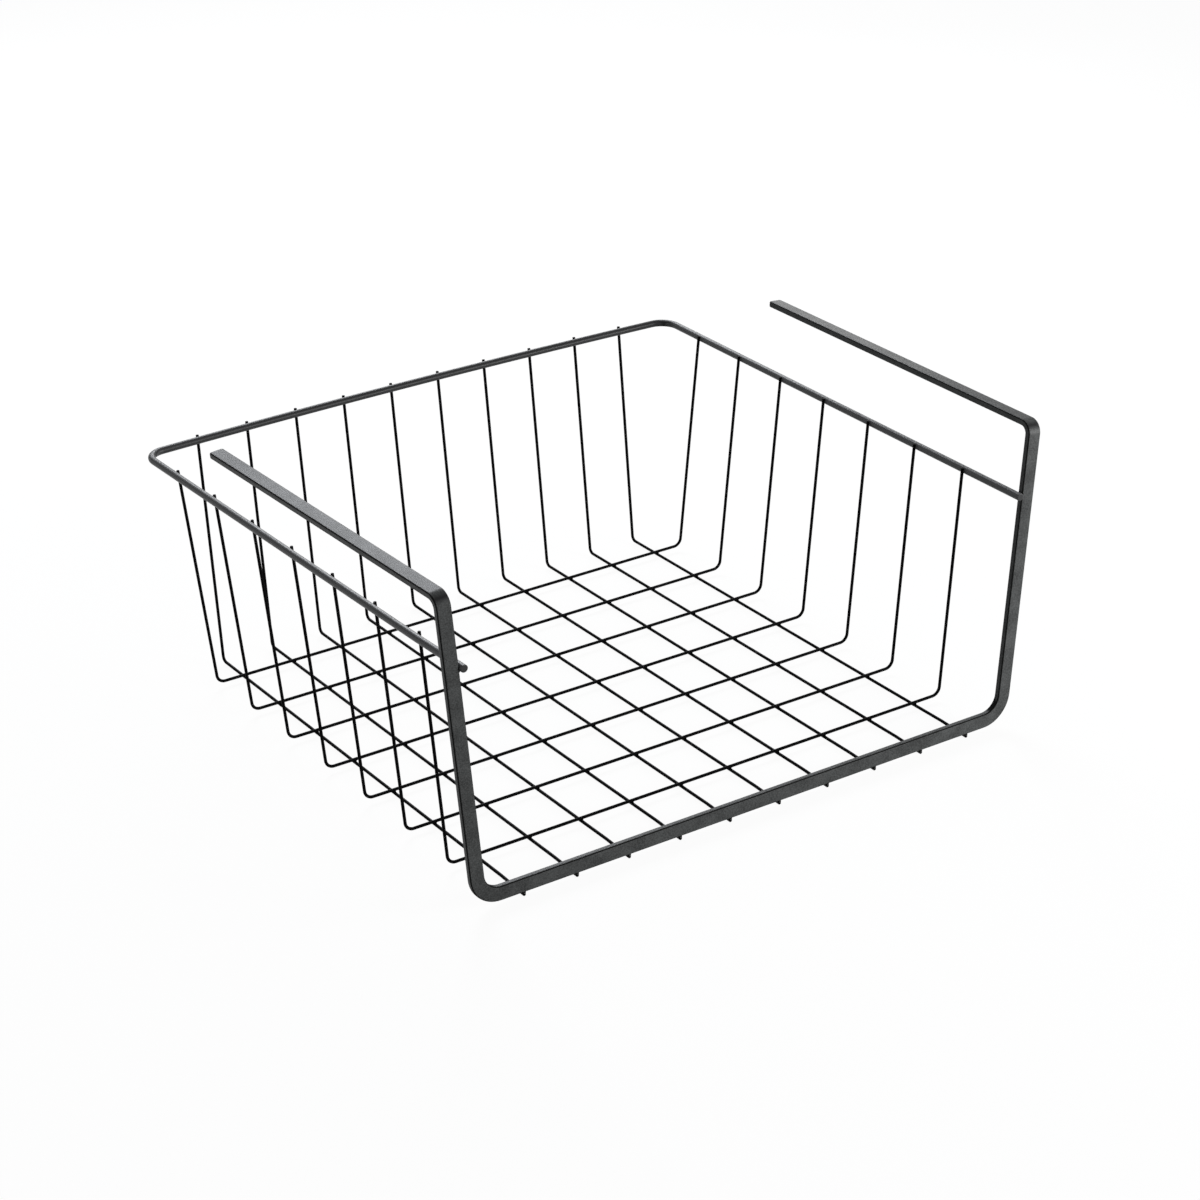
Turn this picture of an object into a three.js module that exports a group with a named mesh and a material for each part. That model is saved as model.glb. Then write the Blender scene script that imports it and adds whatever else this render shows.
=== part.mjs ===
import * as THREE from 'three';

// Storage basket of welded and powder-coated steel that hangs under a shelf board.
// Millimetres, +Z up, the open front towards -Y, left and right alike.
// One flat bar makes the two hanging arms, the uprights and the front sill.
// A round rim wire and two layers of thin wire make the basket behind it.

// Flat bar of the frame
const barWidth = 6.6;
const barThickness = 2.8;
const barEdgeRadius = 0.7;
const barEndEase = 0.5;
const armLength = 180;
const armHeight = 140;
const armSpread = 303;
const frameTopWidth = 299.4;
const frameFloorWidth = 275.4;
const topBendRadius = 4.6;
const lowerCornerRadius = 8.8;

// Rim wire
const rimDiameter = 3.2;
const rimHeight = 107.5;
const rimDepth = 262.7;
const rimFlare = 3.7;
const rimCornerRadius = 9;
const rimFrontOverhang = 1;

// Thin wires of the floor and walls
const wireDiameter = 1.3;
const wireBendRadius = 4;
const wireTipRise = 1.6;
const longWireCount = 10;
const longWireSideMargin = 13.8;
const longWireFrontOverhang = 1;
const crossWireCount = 7;
const crossWireFrontMargin = 35;
const crossWireRearMargin = 21;
const floorSideClearance = 2.9;
const rearWallInset = 8.4;

// Weld seats: how far apart the surfaces lie where two pieces are welded
const weldGap = 0.05;

// Fineness of the round forms
const barEdgeSteps = 3;
const barBendSteps = 10;
const rimSides = 12;
const rimBendSteps = 10;
const wireSides = 8;
const wireBendSteps = 6;

// Radii of the two round wires, from which the pieces seat on each other
const wireRadius = wireDiameter / 2;
const rimRadius = rimDiameter / 2;

const FRONT = new THREE.Vector3(0, -1, 0);
const UP = new THREE.Vector3(0, 0, 1);
const RIGHT = new THREE.Vector3(1, 0, 0);

// A route of straight stretches through the corners, each inner corner rounded by an arc.
// Every station has its point, its heading and the way that the section's face looks.
function roundedRoute(corners, radii, faces, steps) {
  const headings = corners.slice(1).map((corner, i) => corner.clone().sub(corners[i]).normalize());
  const stations = [{ point: corners[0], heading: headings[0], face: faces[0] }];
  radii.forEach((radius, i) => {
    const into = headings[i];
    const out = headings[i + 1];
    const turn = into.angleTo(out);
    const arcStart = corners[i + 1].clone().addScaledVector(into, -radius * Math.tan(turn / 2));
    const inward = out.clone().addScaledVector(into, -Math.cos(turn)).normalize();
    for (let step = 0; step <= steps; step += 1) {
      const share = step / steps;
      const angle = turn * share;
      const point = arcStart.clone();
      point.addScaledVector(into, radius * Math.sin(angle));
      point.addScaledVector(inward, radius * (1 - Math.cos(angle)));
      const heading = into.clone().multiplyScalar(Math.cos(angle));
      heading.addScaledVector(inward, Math.sin(angle));
      stations.push({ point, heading, face: faces[i].clone().lerp(faces[i + 1], share) });
    }
  });
  const end = corners.length - 1;
  stations.push({ point: corners[end], heading: headings[end - 1], face: faces[end - 1] });
  return stations;
}

// Round wire as a many-sided section with a flat on each side that another wire can seat on.
function wireSection(diameter, sides) {
  const cornerRadius = diameter / 2 / Math.cos(Math.PI / sides);
  const points = [];
  for (let side = 0; side < sides; side += 1) {
    const angle = (side + 0.5) * 2 * Math.PI / sides;
    points.push(new THREE.Vector2(cornerRadius * Math.cos(angle), cornerRadius * Math.sin(angle)));
  }
  return points;
}

// Flat bar with softly rounded edges, smaller all round by the inset.
function barSection(inset) {
  const radius = barEdgeRadius;
  const halfWidth = barWidth / 2 - inset - radius;
  const halfThickness = barThickness / 2 - inset - radius;
  const points = [];
  [[1, 1], [-1, 1], [-1, -1], [1, -1]].forEach(([sideX, sideY], quarter) => {
    for (let step = 0; step <= barEdgeSteps; step += 1) {
      const angle = (quarter + step / barEdgeSteps) * Math.PI / 2;
      const x = sideX * halfWidth + radius * Math.cos(angle);
      const y = sideY * halfThickness + radius * Math.sin(angle);
      points.push(new THREE.Vector2(x, y));
    }
  });
  return points;
}

// Closed solid that joins the section at every station; the section turns with the heading and face.
function sweep(stations, sectionAt) {
  const positions = [];
  const indices = [];
  stations.forEach((station) => {
    const face = station.face.clone().addScaledVector(station.heading, -station.face.dot(station.heading));
    face.normalize();
    const side = new THREE.Vector3().crossVectors(face, station.heading);
    sectionAt(station).forEach((corner) => {
      const vertex = station.point.clone().addScaledVector(side, corner.x).addScaledVector(face, corner.y);
      positions.push(vertex.x, vertex.y, vertex.z);
    });
  });
  const count = positions.length / 3 / stations.length;
  for (let ring = 0; ring + 1 < stations.length; ring += 1) {
    for (let i = 0; i < count; i += 1) {
      const a = ring * count + i;
      const b = ring * count + (i + 1) % count;
      indices.push(a, b, b + count, a, b + count, a + count);
    }
  }
  const last = (stations.length - 1) * count;
  for (let i = 1; i + 1 < count; i += 1) {
    indices.push(0, i + 1, i);
    indices.push(last, last + i, last + i + 1);
  }
  const geometry = new THREE.BufferGeometry();
  geometry.setAttribute('position', new THREE.Float32BufferAttribute(positions, 3));
  geometry.setIndex(indices);
  geometry.computeVertexNormals();
  return geometry;
}

function piece(name, geometry, color, roughness, metalness) {
  const mesh = new THREE.Mesh(geometry, new THREE.MeshStandardMaterial({ color, roughness, metalness }));
  mesh.name = name;
  return mesh;
}

// The floor has two layers: the front-to-back wires lie lowest, the cross wires and the sill on them.
const longWireLevel = wireRadius;
const crossWireLevel = longWireLevel + wireDiameter + weldGap;
const sillLevel = wireDiameter + weldGap + barWidth / 2;

// The uprights lean outwards, so the frame is wider at the arms than at the floor.
const lean = Math.atan2((frameTopWidth - frameFloorWidth) / 2, armHeight);
const uprightHalfWidth = barWidth / 2 / Math.cos(lean);
function uprightAxisX(height) {
  return frameFloorWidth / 2 - uprightHalfWidth + height * Math.tan(lean);
}

// The bar's middle runs half its thickness behind the front face and below the arms' top face.
function frameBar() {
  const front = barThickness / 2;
  const top = armHeight - barThickness / 2;
  const armRear = new THREE.Vector3(armSpread / 2 - barWidth / 2, armLength, top);
  const armFront = new THREE.Vector3(uprightAxisX(top), front, top);
  const sillEnd = new THREE.Vector3(uprightAxisX(sillLevel), front, sillLevel);
  const easeStart = armRear.clone().lerp(armFront, barEndEase / armRear.distanceTo(armFront));
  const mirror = (point) => new THREE.Vector3(-point.x, point.y, point.z);
  const corners = [easeStart, armFront, sillEnd].map(mirror).concat([sillEnd, armFront, easeStart]);
  const radii = [topBendRadius, lowerCornerRadius, lowerCornerRadius, topBendRadius];
  const stations = roundedRoute(corners, radii, [UP, FRONT, FRONT, FRONT, UP], barBendSteps);
  const cutEnd = (station, point) => ({ ...station, point, inset: barEndEase });
  stations.unshift(cutEnd(stations[0], mirror(armRear)));
  stations.push(cutEnd(stations[stations.length - 1], armRear));
  const geometry = sweep(stations, (station) => barSection(station.inset ?? 0));
  return piece('frame_bar', geometry, 0x474a4c, 0.62, 0.35);
}

// The rim's two front ends run along the inner sides of the uprights, where they are welded.
const rimSeat = (rimRadius + weldGap) / Math.cos(lean);
const rimFrontX = uprightAxisX(rimHeight) - uprightHalfWidth - rimSeat;
const rimBackX = rimFrontX + rimFlare;
function rimAxisX(setback) {
  return rimFrontX + rimFlare * setback / rimDepth;
}

function rimWire() {
  const rightFront = new THREE.Vector3(rimAxisX(-rimFrontOverhang), -rimFrontOverhang, rimHeight);
  const rightBack = new THREE.Vector3(rimBackX, rimDepth, rimHeight);
  const leftBack = new THREE.Vector3(-rimBackX, rimDepth, rimHeight);
  const leftFront = new THREE.Vector3(-rightFront.x, rightFront.y, rimHeight);
  const corners = [rightFront, rightBack, leftBack, leftFront];
  const stations = roundedRoute(corners, [rimCornerRadius, rimCornerRadius], [UP, UP, UP], rimBendSteps);
  const geometry = sweep(stations, () => wireSection(rimDiameter, rimSides));
  return piece('rim_wire', geometry, 0x37393b, 0.45, 0.4);
}

// The floor lies inside the frame, and both wall slopes run from its edges to the rim.
const floorHalfWidth = frameFloorWidth / 2 - 2 * uprightHalfWidth - floorSideClearance;
const floorDepth = rimDepth - rearWallInset;

// How far a wall wire leans out on its way up to the rim's level. It touches the rim's round side,
// outside the rim where side is 1 and inside it where side is -1, so the seat is measured square
// to the leaning wire, and the run is found in a few passes.
function wallRun(foot, rimOffset, footLevel, side) {
  const rise = rimHeight - footLevel;
  const seat = rimRadius + wireRadius + weldGap;
  let run = rimOffset - foot;
  for (let pass = 0; pass < 4; pass += 1) {
    run = rimOffset - foot + side * seat * Math.hypot(run, rise) / rise;
  }
  return run;
}

// Front-to-back wires: up the sloping back wall outside the rim, under the sill at the front.
function longWire(index) {
  const span = 2 * (floorHalfWidth - longWireSideMargin);
  const x = -span / 2 + span * index / (longWireCount - 1);
  const rise = rimHeight - longWireLevel;
  const run = wallRun(floorDepth, rimDepth, longWireLevel, 1);
  const reach = (rise + wireTipRise) / rise;
  const tip = new THREE.Vector3(x, floorDepth + run * reach, longWireLevel + rise * reach);
  const foot = new THREE.Vector3(x, floorDepth, longWireLevel);
  const front = new THREE.Vector3(x, -longWireFrontOverhang, longWireLevel);
  const stations = roundedRoute([tip, foot, front], [wireBendRadius], [RIGHT, RIGHT], wireBendSteps);
  const geometry = sweep(stations, () => wireSection(wireDiameter, wireSides));
  return piece(`front_to_back_wire_${index + 1}`, geometry, 0x161718, 0.5, 0.3);
}

// Cross wires: up one side wall inside the rim, across the floor on the front-to-back wires and
// up the other side wall. The rim spreads towards the back, so each leans a little more than the last.
function crossWire(index) {
  const pitch = (floorDepth - crossWireFrontMargin - crossWireRearMargin) / (crossWireCount - 1);
  const y = crossWireFrontMargin + pitch * index;
  const rise = rimHeight - crossWireLevel;
  const run = wallRun(floorHalfWidth, rimAxisX(y), crossWireLevel, -1);
  const reach = (rise + wireTipRise) / rise;
  const tip = new THREE.Vector3(floorHalfWidth + run * reach, y, crossWireLevel + rise * reach);
  const foot = new THREE.Vector3(floorHalfWidth, y, crossWireLevel);
  const mirror = (point) => new THREE.Vector3(-point.x, point.y, point.z);
  const corners = [mirror(tip), mirror(foot), foot, tip];
  const stations = roundedRoute(corners, [wireBendRadius, wireBendRadius], [FRONT, FRONT, FRONT], wireBendSteps);
  const geometry = sweep(stations, () => wireSection(wireDiameter, wireSides));
  return piece(`cross_wire_${index + 1}`, geometry, 0x161718, 0.5, 0.3);
}

const group = new THREE.Group();
group.add(frameBar());
group.add(rimWire());
for (let index = 0; index < longWireCount; index += 1) {
  group.add(longWire(index));
}
for (let index = 0; index < crossWireCount; index += 1) {
  group.add(crossWire(index));
}

// The origin is the middle of the footprint, on the surface that the floor wires stand on.
const extent = new THREE.Box3().setFromObject(group);
const middle = extent.getCenter(new THREE.Vector3());
group.position.set(-middle.x, -middle.y, -extent.min.z);

export default group;
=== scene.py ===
"""Storage basket of welded and powder-coated steel that hangs under a shelf board.

A flat bar is bent into two arms, two uprights and the front sill. A round rim wire runs along both
sides and the back, and two layers of thin wire make the floor and the walls. The bar and each wire
are drawn from their section along their route, as the steel is, and stand for the solids of the
same parts. The beads of the spot welds lie over them. Metres, +Z up, the open front towards -Y.
"""

import math
from collections import namedtuple

import bmesh
import bpy
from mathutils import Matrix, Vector


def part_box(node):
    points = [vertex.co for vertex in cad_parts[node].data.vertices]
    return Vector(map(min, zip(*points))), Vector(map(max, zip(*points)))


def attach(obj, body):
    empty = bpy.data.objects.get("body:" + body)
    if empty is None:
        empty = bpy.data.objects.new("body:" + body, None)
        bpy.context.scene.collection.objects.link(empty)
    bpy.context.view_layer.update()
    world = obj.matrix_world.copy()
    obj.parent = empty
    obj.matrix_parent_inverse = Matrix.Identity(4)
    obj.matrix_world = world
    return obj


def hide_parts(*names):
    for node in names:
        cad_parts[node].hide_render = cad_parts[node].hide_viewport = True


bl_info = {
    "name": "Welded wire shelf basket",
    "version": (1, 0, 0),
    "blender": (4, 5, 0),
    "location": "View3D > Sidebar > Shelf basket",
    "description": "Builds a coated wire basket that hangs under a shelf board",
    "category": "Add Mesh",
}

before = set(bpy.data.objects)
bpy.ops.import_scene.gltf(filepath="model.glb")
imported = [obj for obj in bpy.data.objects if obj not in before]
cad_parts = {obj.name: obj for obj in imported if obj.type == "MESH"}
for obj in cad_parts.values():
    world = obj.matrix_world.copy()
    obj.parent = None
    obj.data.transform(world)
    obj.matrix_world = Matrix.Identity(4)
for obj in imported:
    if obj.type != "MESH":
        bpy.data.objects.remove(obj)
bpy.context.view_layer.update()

MM = 0.001
X_AXIS = Vector((1, 0, 0))
Y_AXIS = Vector((0, 1, 0))
Z_AXIS = Vector((0, 0, 1))
BLACK = (0.0, 0.0, 0.0)
WHITE = (1.0, 1.0, 1.0)
QUARTER_TURN = math.radians(90)
# A piece is mirrored from right to left only.
ACROSS_ONLY = (True, False, False)

# Points nearer to each other than this are merged, and a face nearer than this to the middle plane
# lies in it. The seam of a mirrored piece is joined over a little more.
SAME_POINT = 0.001 * MM
MIRROR_SEAM = 0.01 * MM

# Rounds in which the lean of a wall wire and its seat on the rim settle together.
SEAT_ROUNDS = 4

# Sides of the round sections, and steps of the bends.
WIRE_SIDES = 14
RIM_SIDES = 24
BEAD_SIDES = 10
TOP_BEND_STEPS = 12
CORNER_STEPS = 14
BOW_STEPS = 10
WIRE_BEND_STEPS = 10

# Segments of the rounded edges, and the angles above which an edge is rounded. The cut edges have
# 90 degrees. The bar's bends turn by less than 40 degrees from one face to the next, and the sides
# of a round section by less than 50.
BAR_EDGE_SEGMENTS = 4
END_CORNER_SEGMENTS = 4
RIM_END_SEGMENTS = 3
WIRE_END_SEGMENTS = 2
BAR_EDGE_ANGLE = math.radians(40)
WIRE_END_ANGLE = math.radians(50)
# How strongly the broad faces set the shading of the rounded edges between them, out of 100.
BROAD_FACE_WEIGHT = 80

# How squarely a face looks to the rear, or an edge stands upright, to be picked as such.
SQUARELY = 0.9
# How far above the start of a top bend the middle of a face lies, to be picked as the bend's.
BEND_MARGIN = 0.1 * MM

# Width of the level ring round the dish of a cut end, as a share of the wire's diameter.
DISH_RING_SHARE = 0.2
# Rounding of a bead's edges, as a share of its height.
BEAD_ROUND_SHARE = 0.35
# Where the weld of a rim's end lies on the upright, as a share of the bar's thickness from the front.
RIM_END_WELD_SHARE = 0.45

# The noise of the coats: its middle value, how rough it is, and its levels of detail.
NOISE_MIDDLE = 0.5
NOISE_ROUGHNESS = 0.55
GRAIN_DETAIL = 3.0
CLOUD_DETAIL = 1.0
# The tone runs between a darker and a lighter shade of the coat, and lies half-way on average.
DARK_GRAIN = 0.55
LIGHT_GRAIN = 1.45
MIDDLE_TONE = 0.5
# Contrast of the clouds against that of the grains.
CLOUD_CONTRAST = 0.4
# What the clouds, the grains and the rougher rounded edges add to the coat's roughness.
CLOUD_ROUGH = 0.14
GRAIN_ROUGH = 0.06
EDGE_ROUGH = 0.5
COAT_IOR = 1.5

# Parts of a unit normal between which a mask changes. The painted shade of a top bend ends where
# the skin faces sideways, and gives way to the full coat where it faces forwards or up. A cut end
# of the rim faces along the basket.
BEND_SIDEWAYS = (0.25, 0.5)
BEND_FLATNESS = (0.70, 0.97)
CUT_END_SQUARENESS = (0.85, 0.95)
# The painted shade of a top bend begins below it, and both it and the painted shade along the
# back take some way to set in.
BEND_LEAD = 4 * MM
BEND_FADE = 2 * MM
REAR_FADE = 10 * MM

# How a coat looks apart from its colour: the parts of a unit normal between which the rounded
# edges' rougher skin and painted shade give way to the full coat, the size of its grains against
# the bar's, its roughness, the contrast and the relief of its grains, and its gloss.
Finish = namedtuple("Finish", "flatness grain rough contrast relief gloss")
BAR_FINISH = Finish((0.86, 0.985), 1.0, 0.36, 2.6, 0.045 * MM, 0.06)
RIM_FINISH = Finish((0.70, 0.82), 0.8, 0.34, 0.5, 0.006 * MM, 0.10)
WIRE_FINISH = Finish((0.86, 0.985), 0.7, 0.40, 0.3, 0.01 * MM, 0.02)

# The materials of the three coats.
BAR_COAT = "bar_powder_coat"
RIM_COAT = "rim_powder_coat"
WIRE_COAT = "wire_powder_coat"

# Soft lamps: the name, place, size and light colour of each, and the point that all look at.
Lamp = namedtuple("Lamp", "name place width depth tint")
DAYLIGHT = (0.93, 0.955, 1.0)
REAR_LAMP = Lamp("rear_lamp", (0.33, 0.98, 0.87), 0.65, 0.52, DAYLIGHT)
SIDE_LAMP = Lamp("side_lamp", (0.6, 0.8, 0.42), 0.5, 0.4, WHITE)
LEFT_LAMP = Lamp("left_lamp", (-1.1, -0.2, 0.35), 0.5, 0.4, WHITE)
FRONT_LAMP = Lamp("front_lamp", (0.7, -0.75, 0.20), 0.5, 0.4, WHITE)
LAMP_AIM = Vector((0, 0, 0.07))

# The floor: how far it lies below the lowest wire, its paint as it is seen and as it throws light
# back up at the basket, and how much of what is seen is plain white and takes no shadow.
FLOOR_GAP = 0.1 * MM
FLOOR_PAINT = (0.95, 0.95, 0.95)
FLOOR_BOUNCE = (0.3, 0.3, 0.3)
FLOOR_WHITE_SHARE = 0.94

# The camera's sensor in millimetres, and the nearest and farthest that it sees in metres.
SENSOR_WIDTH = 36.0
CLIP_START = 0.05
CLIP_END = 50.0

# The front face of the bar, from which every depth is measured towards the back.
FRONT_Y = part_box("frame_bar")[0].y


def length(name, description, millimetres):
    """A size of the basket that a user may change."""
    return bpy.props.FloatProperty(
        name=name, description=description, default=millimetres * MM, min=0.0, precision=5,
        unit="LENGTH",
    )


def fraction(name, description, part):
    """A part of a whole, from 0 to 1."""
    return bpy.props.FloatProperty(
        name=name, description=description, default=part, min=0.0, max=1.0, subtype="FACTOR"
    )


def number(name, description, pieces):
    """A number of wires, of which there are at least two."""
    return bpy.props.IntProperty(name=name, description=description, default=pieces, min=2)


def power(name, description, watts):
    """Power of one of the soft lamps."""
    return bpy.props.FloatProperty(
        name=name, description=description, default=watts, min=0.0, unit="POWER"
    )


def colour(name, description, shade):
    """A colour of one of the coats."""
    return bpy.props.FloatVectorProperty(
        name=name, description=description, default=shade, min=0.0, max=1.0, size=3, subtype="COLOR"
    )


class BarSizes(bpy.types.PropertyGroup):
    """Sizes of the flat bar that makes the arms, the uprights and the sill."""

    width: length("Bar width", "Broad side of the flat bar with its coat", 6.6)
    thickness: length("Bar thickness", "Narrow side of the flat bar with its coat", 2.8)
    edge_radius: length("Edge radius", "Rounding of the bar's edges with their coat", 0.7)
    height: length("Height", "Top of the arms above the floor wires' underside", 140.0)
    arm_spread: length("Arm spread", "Width across the rear ends of the arms", 303.0)
    top_width: length("Top width", "Width across the uprights, drawn up to the arms' top", 299.4)
    floor_width: length("Floor width", "Width across the uprights, drawn down to the floor", 275.4)
    left_arm: length("Left arm length", "From the front face to the left arm's rear end", 177.4)
    right_arm: length("Right arm length", "From the front face to the right arm's rear end", 184.9)
    top_bend: length("Top bend", "Radius of the bend from arm to upright, at the bar's middle", 4.6)
    lower_corner: length(
        "Lower corner", "Radius of the corner from upright to sill, at the bar's middle", 10.8
    )
    left_rise: length("Left rise", "How much higher the left shoulder stands than the right one", 0.9)
    end_corner: length("End corner", "Rounding of the corners where the arms are cut off", 1.1)
    sill_sag: length("Sill sag", "How far the sill is pressed down on the front-to-back wires", 0.5)


class RimSizes(bpy.types.PropertyGroup):
    """Sizes of the round rim wire."""

    diameter: length("Rim diameter", "Diameter of the rim wire with its coat", 3.2)
    coat: length("Gathered coat", "What the coat adds to the diameter where it gathers on the rim", 0.12)
    height: length("Rim height", "Middle of the rim wire above the floor wires' underside", 107.5)
    depth: length("Rim depth", "From the front face to the middle of the back rim", 262.7)
    flare: length("Rim flare", "How far each side of the rim spreads towards the back", 3.7)
    corner: length("Rim corner", "Radius of the rim's rear corners, at the wire's middle", 9.0)
    overhang: length("Front overhang", "How far the rim's ends stand out of the front face", 1.0)
    bow: length("Back bow", "How far the middle of the back rim stands out behind its corners", 3.0)
    skew: length("Back skew", "How much further back the right rear corner stands than the left one", 2.9)
    end_stretch: length("End stretch", "Front stretch of the rim, from its first cross wire to its end", 34.0)
    left_rise: length("Left end rise", "How far the left front stretch is bent up at its end", 0.5)
    end_dish: length("End dish", "Depth of the dish that the cutter leaves in the rim's ends", 0.14)
    end_round: length("End rounding", "Rounding of the rim's cut ends", 0.4)


class WireSizes(bpy.types.PropertyGroup):
    """Sizes of the thin wires of the floor and walls."""

    diameter: length("Wire diameter", "Diameter of the thin wires with their coat", 1.3)
    coat: length("Gathered coat", "What the coat adds to the diameter where it gathers on a thin wire", 0.1)
    side_bend: length("Side bend", "Radius of the bend from floor to side wall, at the wire's middle", 4.0)
    back_bend: length("Back bend", "Radius of the bend from floor to back wall, at the wire's middle", 2.6)
    back_drift: length("Back drift", "How far the back wall's wires lean to the right up to the rim", 1.0)
    back_spread: length(
        "Back spread", "How much further apart the outermost wires stand at the back rim", 1.3
    )
    tip_rise: length("Tip rise", "How far the wire tips stand above the middle of the rim", 1.6)
    end_round: length("End rounding", "Rounding of the wires' cut ends", 0.15)
    weld_gap: length("Weld seat", "Space that a weld fills between two pieces", 0.05)
    side_clearance: length("Side clearance", "From an upright's foot to the floor's edge", 2.9)
    rear_inset: length("Rear inset", "How far the floor's rear edge lies in front of the back rim", 8.4)
    long_margin: length("Side margin", "From the floor's edge to the first front-to-back wire", 13.8)
    long_overhang: length("Wire overhang", "How far the front-to-back wires pass the front face", 0.3)
    dip_length: length(
        "Dip length", "Front stretch in which a front-to-back wire bends down to the sill", 14.0
    )
    cross_front: length("Front margin", "From the front face to the first cross wire", 35.0)
    cross_rear: length("Rear margin", "From the last cross wire to the floor's rear edge", 21.0)
    long_count: number("Front-to-back wires", "Number of front-to-back wires", 10)
    cross_count: number("Cross wires", "Number of cross wires", 7)


class WeldSizes(bpy.types.PropertyGroup):
    """Sizes of the small beads of steel that the spot welds leave."""

    crossing: length("Crossing weld", "Width of the bead where two thin wires cross", 1.8)
    sill: length("Sill weld", "Width of the bead where a wire's front end meets the sill", 2.0)
    sill_setback: length("Sill weld place", "From the front face to the middle of a sill weld", 0.45)
    rim: length("Rim weld", "Width of the bead where a wall wire meets the rim", 1.9)
    rim_end: length("Rim end weld", "Width of the bead where the rim meets an upright", 2.6)
    height: length("Weld height", "Thickness of a bead, most of which is sunk in the wires", 1.0)


class CoatColours(bpy.types.PropertyGroup):
    """Colours of the three coats, and the scale of their texture."""

    bar: colour("Bar coat", "Fine-textured dark grey powder coat of the bar", (0.050, 0.052, 0.052))
    rim: colour("Rim coat", "Satin dark grey powder coat of the rim wire", (0.080, 0.081, 0.083))
    # Painted shade: a dark band between the rim's top and its side.
    rim_shoulder_shade: colour("Rim edge tone", "Darker coat between the rim's top and its side", (0.042, 0.042, 0.043))
    # Painted shade: the rim's coat is made darker along the back, and on its cut ends.
    rim_rear_shade: fraction(
        "Rear darkness", "How much darker the rim's coat is along the back, where nothing rubs it", 0.60
    )
    wire: colour("Wire coat", "Near-black satin coat of the thin wires", (0.0020, 0.0020, 0.0022))
    # Painted shade: the bar's rounded edges are drawn in this darker colour.
    edge: colour("Edge tone", "Thinner and darker coat on the bar's rounded edges", (0.004, 0.004, 0.004))
    # Painted shade on the outer side of the top bends.
    bend: colour(
        "Bend tone", "Darker coat on the stretched outer side of the top bends", (0.020, 0.020, 0.021)
    )
    grain: length("Grain", "Size of the powder coat's grains", 0.55)
    cloud: length("Cloud", "Size of the faint lighter and darker patches", 9.0)


class StudioSettings(bpy.types.PropertyGroup):
    """Camera, lamps and floor."""

    camera_place: bpy.props.FloatVectorProperty(
        name="Camera place", description="Where the camera stands", subtype="TRANSLATION", unit="LENGTH",
        default=(-0.67013, -1.02077, 0.62851),
    )
    camera_turn: bpy.props.FloatVectorProperty(
        name="Camera turn", description="How the camera is turned", subtype="EULER",
        default=[math.radians(angle) for angle in (64.5081, 0.8209, -34.1697)],
    )
    lens: bpy.props.FloatProperty(
        name="Lens", description="Focal length on a sensor 36 mm wide, in millimetres",
        default=91.781, min=1.0,
    )
    rear_power: power("Rear light", "Power of the soft lamp above and behind", 15.6)
    side_power: power("Side light", "Power of the weak soft lamp behind at the right", 1.9)
    left_power: power("Left light", "Power of the weak soft lamp at the left", 3.0)
    front_power: power("Front light", "Power of the soft lamp at the right front", 14.0)
    room: bpy.props.FloatProperty(
        name="Room light", description="Strength of the even light that the room gives", default=0.15, min=0.0
    )
    floor_size: length("Floor size", "Side of the square floor", 9000.0)


# The scene's settings by their names.
GROUPS = {
    "basket_bar": BarSizes,
    "basket_rim": RimSizes,
    "basket_wire": WireSizes,
    "basket_weld": WeldSizes,
    "basket_coats": CoatColours,
    "basket_studio": StudioSettings,
}


def bar():
    """Sizes of the bar."""
    return bpy.context.scene.basket_bar


def rim():
    """Sizes of the rim wire."""
    return bpy.context.scene.basket_rim


def wire():
    """Sizes of the thin wires."""
    return bpy.context.scene.basket_wire


def weld():
    """Sizes of the weld beads."""
    return bpy.context.scene.basket_weld


# Places that several pieces share


def lean():
    """Angle by which the uprights lean out."""
    return math.atan2((bar().top_width - bar().floor_width) / 2, bar().height)


def upright_half_width():
    """Half of what a leaning upright measures level across."""
    return bar().width / 2 / math.cos(lean())


def upright_axis_x(height):
    """Middle of the right upright at a height."""
    return bar().floor_width / 2 - upright_half_width() + height * math.tan(lean())


def sill_level():
    """Middle of the sill, which is pressed down on the front ends of the front-to-back wires."""
    return wire().diameter + wire().weld_gap + bar().width / 2 - bar().sill_sag


def rim_axis_x(setback):
    """Middle of the right side of the rim at a distance behind the front face."""
    seat = (rim().diameter / 2 + wire().weld_gap) / math.cos(lean())
    front = upright_axis_x(rim().height) - upright_half_width() - seat
    return front + rim().flare * setback / rim().depth


def rim_back(x):
    """Distance of the back rim's middle behind the front face. It is bowed out and a little askew."""
    half = rim_axis_x(rim().depth)
    share = x / (half - rim().corner)
    return rim().depth + rim().bow * (1 - share * share) + rim().skew / 2 * x / half


def rim_drift(x):
    """How far a back wall wire that stands at x on the floor moves to the right up to the rim."""
    return wire().back_drift + wire().back_spread / 2 * x / long_places()[-1]


def floor_half_width():
    """From the middle to the floor's edge, where the side walls begin."""
    return bar().floor_width / 2 - 2 * upright_half_width() - wire().side_clearance


def floor_depth():
    """From the front face to the floor's rear edge, where the back wall begins."""
    return rim().depth - wire().rear_inset


def long_level():
    """Middle of the front-to-back wires, which lie lowest."""
    return wire().diameter / 2


def cross_level():
    """Middle of the cross wires, which lie on the front-to-back wires."""
    return long_level() + wire().diameter + wire().weld_gap


def wall_run(foot, rim_offset, foot_level, side):
    """How far a wall wire leans out up to the rim's level, so that it touches the rim's round side.
    The side is 1 for a wire outside the rim and -1 for one inside it."""
    rise = rim().height - foot_level
    seat = (rim().diameter + wire().diameter) / 2 + wire().weld_gap
    run = rim_offset - foot
    for _ in range(SEAT_ROUNDS):
        run = rim_offset - foot + side * seat * math.hypot(run, rise) / rise
    return run


def cross_setbacks():
    """Distances of the cross wires behind the front face."""
    count = wire().cross_count
    pitch = (floor_depth() - wire().cross_front - wire().cross_rear) / (count - 1)
    return [wire().cross_front + pitch * index for index in range(count)]


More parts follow.
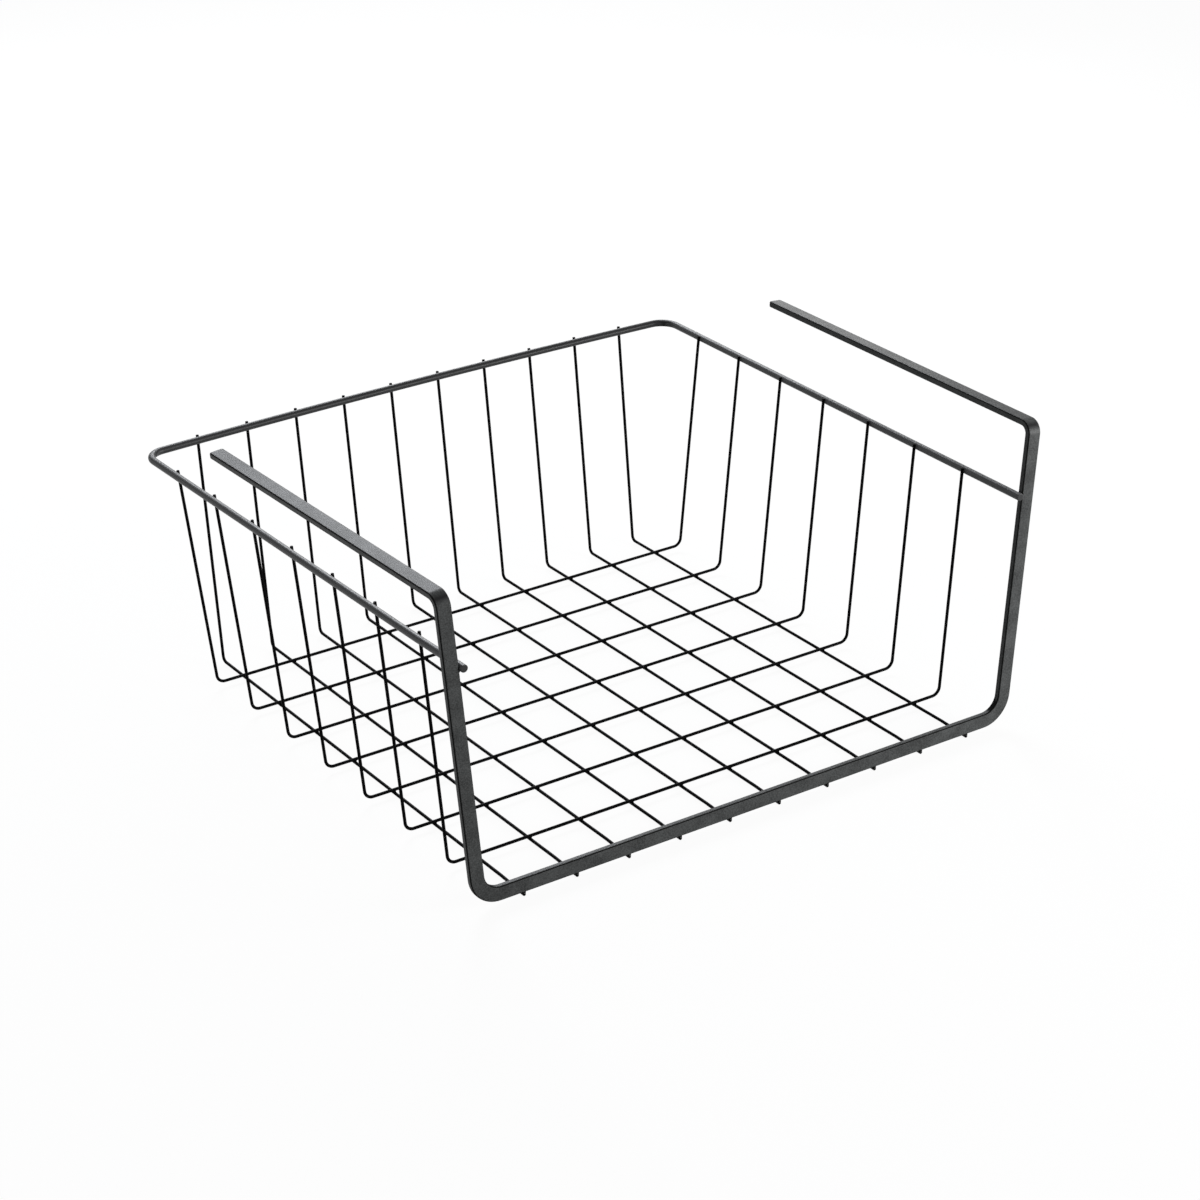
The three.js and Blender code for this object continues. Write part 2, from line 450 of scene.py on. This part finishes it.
def long_places():
    """Places of the front-to-back wires across the basket, left to right."""
    half = floor_half_width() - wire().long_margin
    count = wire().long_count
    return [-half + 2 * half * index / (count - 1) for index in range(count)]


# Drawing a piece from its section


def clear_selection():
    """Leaves edit mode and deselects everything."""
    if bpy.context.mode != "OBJECT":
        bpy.ops.object.mode_set(mode="OBJECT")
    bpy.ops.object.select_all(action="DESELECT")


def open_piece(name):
    """Names the new primitive, applies its place and opens it for editing with all of it selected."""
    piece = bpy.context.object
    piece.name = name
    piece.data.name = name
    bpy.ops.object.transform_apply(location=True, rotation=True, scale=True)
    bpy.ops.object.mode_set(mode="EDIT")
    bpy.ops.mesh.select_mode(type="FACE")
    bpy.ops.mesh.select_all(action="SELECT")
    return piece


def start_wire(name, diameter, sides, at, heading):
    """A disc of the wire's size, from which the wire or bead is drawn along its heading."""
    clear_selection()
    facing = heading.to_track_quat("Z", "Y").to_euler()
    bpy.ops.mesh.primitive_circle_add(
        vertices=sides, radius=diameter / 2, fill_type="NGON", location=at, rotation=facing
    )
    return open_piece(name)


def draw_by(shift):
    """Draws the selected end of the piece straight on."""
    bpy.ops.mesh.extrude_region_move(TRANSFORM_OT_translate={"value": shift})


def turn_about(centre, axis, angle, steps):
    """Draws the selected end of the piece round a bend; the spin counts its angle the other way."""
    bpy.ops.mesh.spin(steps=steps, angle=-angle, center=centre, axis=axis)


def dish_end(width, depth):
    """Presses a shallow dish into the selected end, as a cutter leaves it."""
    bpy.ops.mesh.inset(thickness=width, depth=-depth)


def pick_faces(piece, wanted):
    """Selects the faces whose middle and normal are wanted."""
    bpy.ops.mesh.select_all(action="DESELECT")
    shape = bmesh.from_edit_mesh(piece.data)
    for face in shape.faces:
        face.select = wanted(face.calc_center_median(), face.normal)
    shape.select_flush_mode()
    bmesh.update_edit_mesh(piece.data)


def close_piece():
    """Merges doubles, turns all faces outwards and leaves edit mode."""
    bpy.ops.mesh.select_all(action="SELECT")
    bpy.ops.mesh.remove_doubles(threshold=SAME_POINT)
    bpy.ops.mesh.normals_make_consistent(inside=False)
    bpy.ops.object.mode_set(mode="OBJECT")


def apply_modifier(piece, kind, **settings):
    """Adds a modifier to the piece and applies it."""
    clear_selection()
    bpy.context.view_layer.objects.active = piece
    piece.select_set(True)
    bpy.ops.object.modifier_add(type=kind)
    modifier = piece.modifiers[-1]
    for setting, value in settings.items():
        setattr(modifier, setting, value)
    bpy.ops.object.modifier_apply(modifier=modifier.name)


def mirror_piece(piece):
    """Makes the left half from the right half, joined at the middle."""
    pick_faces(piece, lambda middle, normal: abs(middle.x) < SAME_POINT)
    bpy.ops.mesh.delete(type="ONLY_FACE")
    close_piece()
    apply_modifier(piece, "MIRROR", use_axis=ACROSS_ONLY, merge_threshold=MIRROR_SEAM)


def round_edges(piece, radius, segments, sharper_than=WIRE_END_ANGLE):
    """Rounds every edge that is sharper than the angle, as the coat does."""
    apply_modifier(
        piece, "BEVEL", width=radius, segments=segments, limit_method="ANGLE",
        angle_limit=sharper_than, miter_outer="MITER_ARC",
    )


def smooth_faces(piece):
    """Smooth shading in which the broad faces stay flat."""
    clear_selection()
    bpy.context.view_layer.objects.active = piece
    piece.select_set(True)
    bpy.ops.object.shade_smooth()
    apply_modifier(piece, "WEIGHTED_NORMAL", weight=BROAD_FACE_WEIGHT)


def settle(piece, coat, slot, *nodes):
    """Gives the piece its coat and its place on the basket."""
    piece.data.materials.clear()
    piece.data.materials.append(coat)
    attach(piece, "root")
    if nodes:
        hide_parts(*nodes)


def make_bead(name, width, at, heading):
    """A weld bead: a low round pad with softened edges, square to its heading."""
    thickness = weld().height
    piece = start_wire(name, width, BEAD_SIDES, at - heading * (thickness / 2), heading)
    draw_by(heading * thickness)
    close_piece()
    round_edges(piece, thickness * BEAD_ROUND_SHARE, WIRE_END_SEGMENTS)
    return piece


def repeat_piece(piece, count, step):
    """Repeats the piece in a row of its own mesh."""
    apply_modifier(
        piece, "ARRAY", count=count, use_relative_offset=False, use_constant_offset=True,
        constant_offset_displace=step,
    )


# Coats


class Value:
    """One output of a node, so that shader maths can be written as plain expressions."""

    def __init__(self, nodes, output):
        self.nodes = nodes
        self.output = output

    def _math(self, operation, first, second):
        return self.nodes.add("ShaderNodeMath", {"operation": operation}, {0: first, 1: second})

    def __add__(self, other):
        return self._math("ADD", self, other)

    __radd__ = __add__

    def __sub__(self, other):
        return self._math("SUBTRACT", self, other)

    def __rsub__(self, other):
        return self._math("SUBTRACT", other, self)

    def __mul__(self, other):
        return self._math("MULTIPLY", self, other)

    def larger(self, other):
        """The larger of two values."""
        return self._math("MAXIMUM", self, other)

    def size(self):
        """The value without its sign."""
        return self.nodes.add("ShaderNodeMath", {"operation": "ABSOLUTE"}, {0: self})


class Nodes:
    """The nodes of a coat, the floor's paint or the room."""

    def __init__(self, owner):
        owner.use_nodes = True
        self.owner = owner
        self.tree = owner.node_tree
        self.tree.nodes.clear()

    def add(self, kind, settings=None, values=None, output=0):
        """Adds a node, sets it up and feeds its sockets. Gives back the output asked for."""
        node = self.tree.nodes.new(kind)
        for setting, value in (settings or {}).items():
            setattr(node, setting, value)
        for socket, value in (values or {}).items():
            if isinstance(value, Value):
                self.tree.links.new(value.output, node.inputs[socket])
            else:
                node.inputs[socket].default_value = value
        return Value(self, node.outputs[output]) if len(node.outputs) else None

    def part(self, vector, axis):
        """One part of a vector: X, Y or Z."""
        return self.add("ShaderNodeSeparateXYZ", values={0: vector}, output=axis)

    def noise(self, place, size, detail):
        """Noise from 0 to 1 whose spots are about the given size."""
        return self.add(
            "ShaderNodeTexNoise", {"normalize": True},
            {"Vector": place, "Scale": 1.0 / size, "Detail": detail, "Roughness": NOISE_ROUGHNESS},
        )

    def mix(self, share, first, second):
        """Colour between two colours, which are sockets 6 and 7 of the node, with output 2."""
        return self.add(
            "ShaderNodeMix", {"data_type": "RGBA"}, {0: share, 6: first, 7: second}, output=2
        )

    def rise(self, value, low, high):
        """0 below the low value and 1 above the high one, with a soft change between."""
        return self.add(
            "ShaderNodeMapRange", {"interpolation_type": "SMOOTHSTEP"},
            {"Value": value, "From Min": low, "From Max": high},
        )

    def seen(self):
        """1 for camera, glossy and transmission rays."""
        first = self.add("ShaderNodeLightPath", output="Is Camera Ray")
        second = self.add("ShaderNodeLightPath", output="Is Glossy Ray")
        third = self.add("ShaderNodeLightPath", output="Is Transmission Ray")
        return first.larger(second).larger(third)

    def blend(self, share, first, second):
        """Shader between two shaders."""
        return self.add("ShaderNodeMixShader", values={0: share, 1: first, 2: second})

    def shows(self, shader, kind="ShaderNodeOutputMaterial"):
        """Ends the nodes with the shader, and gives back what they belong to."""
        self.add(kind, values={"Surface": shader})
        return self.owner


def rgba(shade, factor=1.0):
    """The shade, lighter or darker by the factor, as a colour socket takes it."""
    return tuple(channel * factor for channel in shade) + (1.0,)


def powder_coat(name, shade, edge, finish, bend=None, rear=None):
    """Powder coat: fine grains that stand out of the surface, faint larger clouds, and a rougher skin
    with painted shade wherever the steel is neither flat nor upright, as on rounded edges.
    The bend, where there is one, is the colour of the painted shade on the high bends and the level
    above which they lie. The rear is how much darker the coat is made along the back, which is
    painted shade, and on the cut ends, and the depth at which the back begins."""
    coats = bpy.context.scene.basket_coats
    coat = Nodes(bpy.data.materials.new(name))
    place = coat.add("ShaderNodeTexCoord", output="Object")
    facing = coat.add("ShaderNodeTexCoord", output="Normal")
    across = coat.part(facing, "X").size()
    along = coat.part(facing, "Y").size()
    upward = coat.part(facing, "Z").size()
    flat = coat.rise(across.larger(along).larger(upward), *finish.flatness)
    # Painted shade: the rounded edges are mixed towards the darker edge colour.
    thin = rgba(edge)
    # Painted shade on the outer side of the high bends, in the bend's colour.
    if bend:
        bend_shade, level = bend
        high = coat.rise(coat.part(place, "Z"), level, level + BEND_FADE)
        bent = high * (1.0 - coat.rise(across, *BEND_SIDEWAYS))
        soft = coat.rise(along.larger(upward), *BEND_FLATNESS)
        flat = flat + bent * (soft - flat)
        thin = coat.mix(bent, thin, rgba(bend_shade))
    grains = coat.noise(place, coats.grain * finish.grain, GRAIN_DETAIL)
    clouds = coat.noise(place, coats.cloud, CLOUD_DETAIL)
    grain_swing = grains - NOISE_MIDDLE
    cloud_swing = clouds - NOISE_MIDDLE
    cloud_contrast = finish.contrast * CLOUD_CONTRAST
    tone = MIDDLE_TONE + grain_swing * finish.contrast + cloud_swing * cloud_contrast
    base = coat.mix(tone, rgba(shade, DARK_GRAIN), rgba(shade, LIGHT_GRAIN))
    # Painted shade: the coat is made darker along the back and on the cut ends.
    if rear:
        darker, rear_start = rear
        cut_end = coat.rise(along, *CUT_END_SQUARENESS)
        behind = coat.rise(coat.part(place, "Y"), rear_start, rear_start + REAR_FADE)
        dark = behind.larger(cut_end) * darker
        base = coat.mix(dark, base, rgba(BLACK))
        thin = coat.mix(dark, thin, rgba(BLACK))
    bump = coat.add(
        "ShaderNodeBump", values={"Strength": 1.0, "Distance": finish.relief, "Height": grains}
    )
    uneven = cloud_swing * CLOUD_ROUGH + grain_swing * GRAIN_ROUGH
    shader = coat.add(
        "ShaderNodeBsdfPrincipled",
        values={
            "Base Color": coat.mix(flat, thin, base),
            "Roughness": finish.rough + uneven + (1.0 - flat) * EDGE_ROUGH,
            "Metallic": 0.0,
            "IOR": COAT_IOR,
            "Specular IOR Level": finish.gloss,
            "Normal": bump,
        },
    )
    return coat.shows(shader)


def wire_coat(context):
    """The coat that all thin wires share."""
    coats = context.scene.basket_coats
    if WIRE_COAT in bpy.data.materials:
        return bpy.data.materials[WIRE_COAT]
    return powder_coat(WIRE_COAT, coats.wire, coats.wire, WIRE_FINISH)


class BASKET_OT_frame_bar(bpy.types.Operator):
    """Bends the flat bar into the arms, the uprights and the sill"""

    bl_idname = "basket.frame_bar"
    bl_label = "Frame bar"

    def execute(self, context):
        sizes = context.scene.basket_bar
        coats = context.scene.basket_coats
        tilt = lean()
        middle_y = FRONT_Y + sizes.thickness / 2
        up = Vector((math.sin(tilt), 0, math.cos(tilt)))
        across = Vector((math.cos(tilt), 0, -math.sin(tilt)))
        half_section = (sizes.thickness * math.cos(tilt) + sizes.width * math.sin(tilt)) / 2
        arm_level = sizes.height - half_section
        corner = Vector((upright_axis_x(sill_level()), middle_y, sill_level()))
        shoulder = Vector((upright_axis_x(arm_level), middle_y, arm_level))

        clear_selection()
        bpy.ops.mesh.primitive_plane_add(
            size=1, location=(0, middle_y, sill_level()), rotation=(0, QUARTER_TURN, 0)
        )
        bpy.context.object.scale = (sizes.width, sizes.thickness, 1)
        piece = open_piece("bent_flat_bar")

        # Sill, lower corner, upright, top bend and arm of the right half.
        turn = QUARTER_TURN - tilt
        setback = sizes.lower_corner * math.tan(turn / 2)
        draw_by((corner.x - setback, 0, 0))
        corner_centre = corner + Vector((-setback, 0, sizes.lower_corner))
        turn_about(corner_centre, -Y_AXIS, turn, CORNER_STEPS)
        rise = (shoulder - corner).length - setback - sizes.top_bend
        draw_by(up * rise)
        top_start = shoulder - up * sizes.top_bend
        bend_centre = top_start + Y_AXIS * sizes.top_bend
        turn_about(bend_centre, -across, QUARTER_TURN, TOP_BEND_STEPS)
        draw_by(Y_AXIS * (sizes.right_arm - sizes.thickness / 2 - sizes.top_bend))
        mirror_piece(piece)

        # The arms spread a little towards the back, and the left one is cut shorter.
        splay = sizes.arm_spread / 2 - sizes.width / 2 - shoulder.x
        shortfall = sizes.right_arm - sizes.left_arm
        bpy.ops.object.mode_set(mode="EDIT")
        for side, shift in ((1, (splay, 0, 0)), (-1, (-splay, -shortfall, 0))):
            pick_faces(
                piece,
                lambda middle, normal: normal.y > SQUARELY and middle.y > 0 and middle.x * side > 0,
            )
            bpy.ops.transform.translate(value=shift)

        # The left shoulder stands a little higher.
        bend_y = FRONT_Y + sizes.thickness + sizes.top_bend
        bend_level = top_start.z + BEND_MARGIN
        pick_faces(
            piece,
            lambda middle, normal: middle.x < 0 and middle.y < bend_y and middle.z > bend_level,
        )
        bpy.ops.transform.translate(value=Z_AXIS * sizes.left_rise)
        bpy.ops.object.mode_set(mode="OBJECT")
        self.round_ends(piece, sizes.end_corner)
        round_edges(piece, sizes.edge_radius, BAR_EDGE_SEGMENTS, BAR_EDGE_ANGLE)
        smooth_faces(piece)
        # The bar's rounded edges and top bends get painted shade.
        coat = powder_coat(
            BAR_COAT, coats.bar, coats.edge, BAR_FINISH,
            bend=(coats.bend, top_start.z - BEND_LEAD),
        )
        settle(piece, coat, "frame_coat", "frame_bar")
        return {"FINISHED"}

    def round_ends(self, piece, radius):
        """Rounds the upright corners of both cut ends."""
        clear_selection()
        bpy.context.view_layer.objects.active = piece
        piece.select_set(True)
        bpy.ops.object.mode_set(mode="EDIT")
        bpy.ops.mesh.select_mode(type="EDGE")
        bpy.ops.mesh.select_all(action="DESELECT")
        shape = bmesh.from_edit_mesh(piece.data)
        for edge in shape.edges:
            drop = edge.verts[0].co - edge.verts[1].co
            behind = min(vertex.co.y for vertex in edge.verts) > 0
            edge.select = behind and abs(drop.z) > SQUARELY * drop.length
        shape.select_flush_mode()
        bmesh.update_edit_mesh(piece.data)
        bpy.ops.mesh.bevel(offset=radius, segments=END_CORNER_SEGMENTS, affect="EDGES")
        bpy.ops.object.mode_set(mode="OBJECT")


class BASKET_OT_rim_wire(bpy.types.Operator):
    """Bends the rim wire round both sides and the back"""

    bl_idname = "basket.rim_wire"
    bl_label = "Rim wire"

    def execute(self, context):
        sizes = context.scene.basket_rim
        coats = context.scene.basket_coats
        front = Vector((rim_axis_x(-sizes.overhang), FRONT_Y - sizes.overhang, sizes.height))
        corner = Vector((rim_axis_x(sizes.depth), FRONT_Y + sizes.depth, sizes.height))
        heading = (front - corner).normalized()

        # The right half: the bowed back, the rear corner and the side with its dished end.
        reach = corner.x - sizes.corner
        bow_angle = 2 * math.atan(sizes.bow / reach)
        bow_radius = reach / math.sin(bow_angle)
        middle = corner + Vector((-corner.x, sizes.bow, 0))
        thickness = sizes.diameter + sizes.coat
        piece = start_wire("bent_rim_wire", thickness, RIM_SIDES, middle, X_AXIS)
        turn_about(middle - Y_AXIS * bow_radius, -Z_AXIS, bow_angle, BOW_STEPS)
        side_turn = X_AXIS.angle(heading) - bow_angle
        bow_end = Vector((reach, corner.y, corner.z))
        inward = Vector((-math.sin(bow_angle), -math.cos(bow_angle), 0))
        corner_centre = bow_end + inward * sizes.corner
        turn_about(corner_centre, -Z_AXIS, side_turn, CORNER_STEPS)
        bend_end = corner_centre + Vector((-heading.y, heading.x, 0)) * sizes.corner
        draw_by(front - heading * sizes.end_stretch - bend_end)
        draw_by(heading * sizes.end_stretch)
        dish_end(sizes.diameter * DISH_RING_SHARE, sizes.end_dish)
        mirror_piece(piece)

        # The back rim stands a little askew, and the left front stretch is bent up.
        bpy.ops.object.mode_set(mode="EDIT")
        pick_faces(piece, lambda middle, normal: middle.y > bend_end.y)
        bpy.ops.transform.rotate(
            value=-math.atan2(sizes.skew / 2, corner.x), orient_axis="Z",
            center_override=(0, corner.y, corner.z),
        )
        pick_faces(piece, lambda middle, normal: middle.x < 0 and middle.y < FRONT_Y)
        bpy.ops.transform.translate(value=Z_AXIS * sizes.left_rise)
        bpy.ops.object.mode_set(mode="OBJECT")
        round_edges(piece, sizes.end_round, RIM_END_SEGMENTS)
        smooth_faces(piece)
        # The rim gets painted shade between its top and sides, and along its back.
        coat = powder_coat(
            RIM_COAT, coats.rim, coats.rim_shoulder_shade, RIM_FINISH,
            rear=(coats.rim_rear_shade, corner.y - sizes.corner),
        )
        settle(piece, coat, "rim_coat", "rim_wire")
        return {"FINISHED"}


class BASKET_OT_long_wires(bpy.types.Operator):
    """Bends each front-to-back wire to its own place on the bowed back rim"""

    bl_idname = "basket.long_wires"
    bl_label = "Front-to-back wires"

    def execute(self, context):
        sizes = context.scene.basket_wire
        coat = wire_coat(context)
        rise = rim().height - long_level()
        thickness = sizes.diameter + sizes.coat
        # The front end lies level under the sill, and a short stretch rises from it to the floor.
        level_length = bar().thickness + sizes.long_overhang
        for index, x in enumerate(long_places()):
            run = wall_run(floor_depth(), rim_back(x), long_level(), 1)
            wall = Vector((0, run, rise))
            turn = Y_AXIS.angle(wall)
            setback = sizes.back_bend * math.tan(turn / 2)
            foot = Vector((x, FRONT_Y + floor_depth(), long_level()))
            start = Vector((x, FRONT_Y - sizes.long_overhang, long_level() - bar().sill_sag))
            name = f"floor_and_back_wire_{index + 1}"
            piece = start_wire(name, thickness, WIRE_SIDES, start, Y_AXIS)
            draw_by((0, level_length, 0))
            draw_by((0, sizes.dip_length, bar().sill_sag))
            straight = floor_depth() + sizes.long_overhang - setback
            draw_by((0, straight - level_length - sizes.dip_length, 0))
            bend_centre = foot + Vector((0, -setback, sizes.back_bend))
            turn_about(bend_centre, X_AXIS, turn, WIRE_BEND_STEPS)
            reach = wall.normalized() * (wall.length * (rise + sizes.tip_rise) / rise - setback)
            draw_by(reach + X_AXIS * rim_drift(x))
            close_piece()
            round_edges(piece, sizes.end_round, WIRE_END_SEGMENTS)
            smooth_faces(piece)
            settle(piece, coat, "wire_coat", f"front_to_back_wire_{index + 1}")
        return {"FINISHED"}


class BASKET_OT_cross_wires(bpy.types.Operator):
    """Bends each cross wire to the slope of its own place on the rim"""

    bl_idname = "basket.cross_wires"
    bl_label = "Cross wires"

    def execute(self, context):
        sizes = context.scene.basket_wire
        coat = wire_coat(context)
        rise = rim().height - cross_level()
        thickness = sizes.diameter + sizes.coat
        for index, setback_y in enumerate(cross_setbacks()):
            run = wall_run(floor_half_width(), rim_axis_x(setback_y), cross_level(), -1)
            wall = Vector((run, 0, rise))
            turn = X_AXIS.angle(wall)
            setback = sizes.side_bend * math.tan(turn / 2)
            foot = Vector((floor_half_width(), FRONT_Y + setback_y, cross_level()))
            start = (0, foot.y, foot.z)
            name = f"floor_and_side_wire_{index + 1}"
            piece = start_wire(name, thickness, WIRE_SIDES, start, X_AXIS)
            draw_by((foot.x - setback, 0, 0))
            bend_centre = foot + Vector((-setback, 0, sizes.side_bend))
            turn_about(bend_centre, -Y_AXIS, turn, WIRE_BEND_STEPS)
            draw_by(wall.normalized() * (wall.length * (rise + sizes.tip_rise) / rise - setback))
            mirror_piece(piece)
            round_edges(piece, sizes.end_round, WIRE_END_SEGMENTS)
            smooth_faces(piece)
            settle(piece, coat, "wire_coat", f"cross_wire_{index + 1}")
        return {"FINISHED"}


class BASKET_OT_welds(bpy.types.Operator):
    """Adds the beads of the spot welds"""

    bl_idname = "basket.welds"
    bl_label = "Welds"

    def execute(self, context):
        sizes = context.scene.basket_weld
        coat = wire_coat(context)
        places = long_places()
        setbacks = cross_setbacks()
        across = (places[1] - places[0], 0, 0)
        back = (0, setbacks[1] - setbacks[0], 0)
        seat = wire().diameter + wire().weld_gap / 2

        first = Vector((places[0], FRONT_Y + setbacks[0], seat))
        crossings = make_bead("floor_welds", sizes.crossing, first, Z_AXIS)
        repeat_piece(crossings, wire().long_count, across)
        repeat_piece(crossings, wire().cross_count, back)
        self.finish(crossings, coat)

        below_sill = Vector((places[0], FRONT_Y + sizes.sill_setback, seat - bar().sill_sag))
        sill = make_bead("sill_welds", sizes.sill, below_sill, Z_AXIS)
        repeat_piece(sill, wire().long_count, across)
        self.finish(sill, bpy.data.materials[BAR_COAT], "frame_coat")

        run = wall_run(floor_depth(), rim().depth, long_level(), 1)
        outward = Vector((0, rim().height - long_level(), -run)).normalized()
        touch = outward * (rim().diameter / 2 + wire().weld_gap / 2)
        for index, x in enumerate(places):
            at = Vector((x + rim_drift(x), FRONT_Y + rim_back(x), rim().height)) + touch
            self.finish(make_bead(f"back_rim_weld_{index + 1}", sizes.rim, at, outward), coat)

        for index, setback in enumerate(setbacks):
            run = wall_run(floor_half_width(), rim_axis_x(setback), cross_level(), -1)
            inward = Vector((-(rim().height - cross_level()), 0, run)).normalized()
            touch = inward * (rim().diameter / 2 + wire().weld_gap / 2)
            at = Vector((rim_axis_x(setback), FRONT_Y + setback, rim().height)) + touch
            bead = make_bead(f"side_rim_welds_{index + 1}", sizes.rim, at, inward)
            apply_modifier(bead, "MIRROR", use_axis=ACROSS_ONLY)
            self.finish(bead, bpy.data.materials[RIM_COAT], "rim_coat")

        outward = Vector((math.cos(lean()), 0, -math.sin(lean())))
        touch = outward * (rim().diameter / 2)
        weld_y = FRONT_Y + bar().thickness * RIM_END_WELD_SHARE
        at = Vector((rim_axis_x(0), weld_y, rim().height)) + touch
        ends = make_bead("rim_end_welds", sizes.rim_end, at, outward)
        apply_modifier(ends, "MIRROR", use_axis=ACROSS_ONLY)
        self.finish(ends, bpy.data.materials[BAR_COAT], "frame_coat")
        return {"FINISHED"}

    def finish(self, beads, coat, slot="wire_coat"):
        """Smooths the beads and gives them their coat."""
        smooth_faces(beads)
        settle(beads, coat, slot)


class BASKET_OT_studio(bpy.types.Operator):
    """Sets up the floor, the lamps, the room and the camera"""

    bl_idname = "basket.studio"
    bl_label = "Studio"

    def execute(self, context):
        studio = context.scene.basket_studio
        clear_selection()
        floor_level = -bar().sill_sag - FLOOR_GAP
        bpy.ops.mesh.primitive_plane_add(size=studio.floor_size, location=(0, 0, floor_level))
        floor = bpy.context.object
        floor.name = "studio_floor"
        floor.data.materials.append(self.floor_paint())

        self.soft_lamp(REAR_LAMP, studio.rear_power)
        self.soft_lamp(SIDE_LAMP, studio.side_power)
        self.soft_lamp(LEFT_LAMP, studio.left_power)
        self.soft_lamp(FRONT_LAMP, studio.front_power)

        room = Nodes(bpy.data.worlds.new("studio_room"))
        context.scene.world = room.owner
        even = room.add("ShaderNodeBackground", values={"Strength": studio.room})
        white = room.add("ShaderNodeBackground", values={"Color": rgba(WHITE), "Strength": 1.0})
        room.shows(room.blend(room.seen(), even, white), "ShaderNodeOutputWorld")

        bpy.ops.object.camera_add(location=studio.camera_place, rotation=studio.camera_turn)
        camera = bpy.context.object
        camera.name = "photo_camera"
        camera.data.sensor_width = SENSOR_WIDTH
        camera.data.lens = studio.lens
        camera.data.clip_start = CLIP_START
        camera.data.clip_end = CLIP_END
        context.scene.camera = camera
        context.scene.view_settings.view_transform = "Standard"
        return {"FINISHED"}

    def floor_paint(self):
        """White paint that still takes the basket's shadow, and throws little light back up."""
        paint = Nodes(bpy.data.materials.new("floor_paint"))
        bounce = paint.add("ShaderNodeLightPath", output="Is Diffuse Ray")
        shade = paint.mix(bounce, rgba(FLOOR_PAINT), rgba(FLOOR_BOUNCE))
        matt = paint.add("ShaderNodeBsdfDiffuse", values={"Color": shade})
        glow = paint.add("ShaderNodeEmission", values={"Strength": 1.0})
        return paint.shows(paint.blend(paint.seen() * FLOOR_WHITE_SHARE, matt, glow))

    def soft_lamp(self, lamp, watts):
        """A broad soft lamp that looks at the basket."""
        facing = (LAMP_AIM - Vector(lamp.place)).to_track_quat("-Z", "Y").to_euler()
        bpy.ops.object.light_add(type="AREA", location=lamp.place, rotation=facing)
        bpy.context.object.name = lamp.name
        light = bpy.context.object.data
        light.shape = "RECTANGLE"
        light.size = lamp.width
        light.size_y = lamp.depth
        light.energy = watts
        light.color = lamp.tint


OPERATORS = (
    BASKET_OT_frame_bar,
    BASKET_OT_rim_wire,
    BASKET_OT_long_wires,
    BASKET_OT_cross_wires,
    BASKET_OT_welds,
    BASKET_OT_studio,
)


class BASKET_PT_panel(bpy.types.Panel):
    """Lists the basket's pieces and its sizes"""

    bl_idname = "BASKET_PT_panel"
    bl_label = "Shelf basket"
    bl_space_type = "VIEW_3D"
    bl_region_type = "UI"
    bl_category = "Shelf basket"

    def draw(self, context):
        for operator in OPERATORS:
            self.layout.operator(operator.bl_idname)
        for name in GROUPS:
            settings = getattr(context.scene, name)
            box = self.layout.box()
            for setting in settings.__annotations__:
                box.prop(settings, setting)


def register():
    for name, group in GROUPS.items():
        bpy.utils.register_class(group)
        setattr(bpy.types.Scene, name, bpy.props.PointerProperty(type=group))
    for operator in OPERATORS:
        bpy.utils.register_class(operator)
    bpy.utils.register_class(BASKET_PT_panel)


def unregister():
    bpy.utils.unregister_class(BASKET_PT_panel)
    for operator in reversed(OPERATORS):
        bpy.utils.unregister_class(operator)
    for name, group in GROUPS.items():
        delattr(bpy.types.Scene, name)
        bpy.utils.unregister_class(group)


def main():
    register()
    bpy.ops.basket.frame_bar()
    bpy.ops.basket.rim_wire()
    bpy.ops.basket.long_wires()
    bpy.ops.basket.cross_wires()
    bpy.ops.basket.welds()
    bpy.ops.basket.studio()
    clear_selection()


if __name__ == "__main__":
    main()
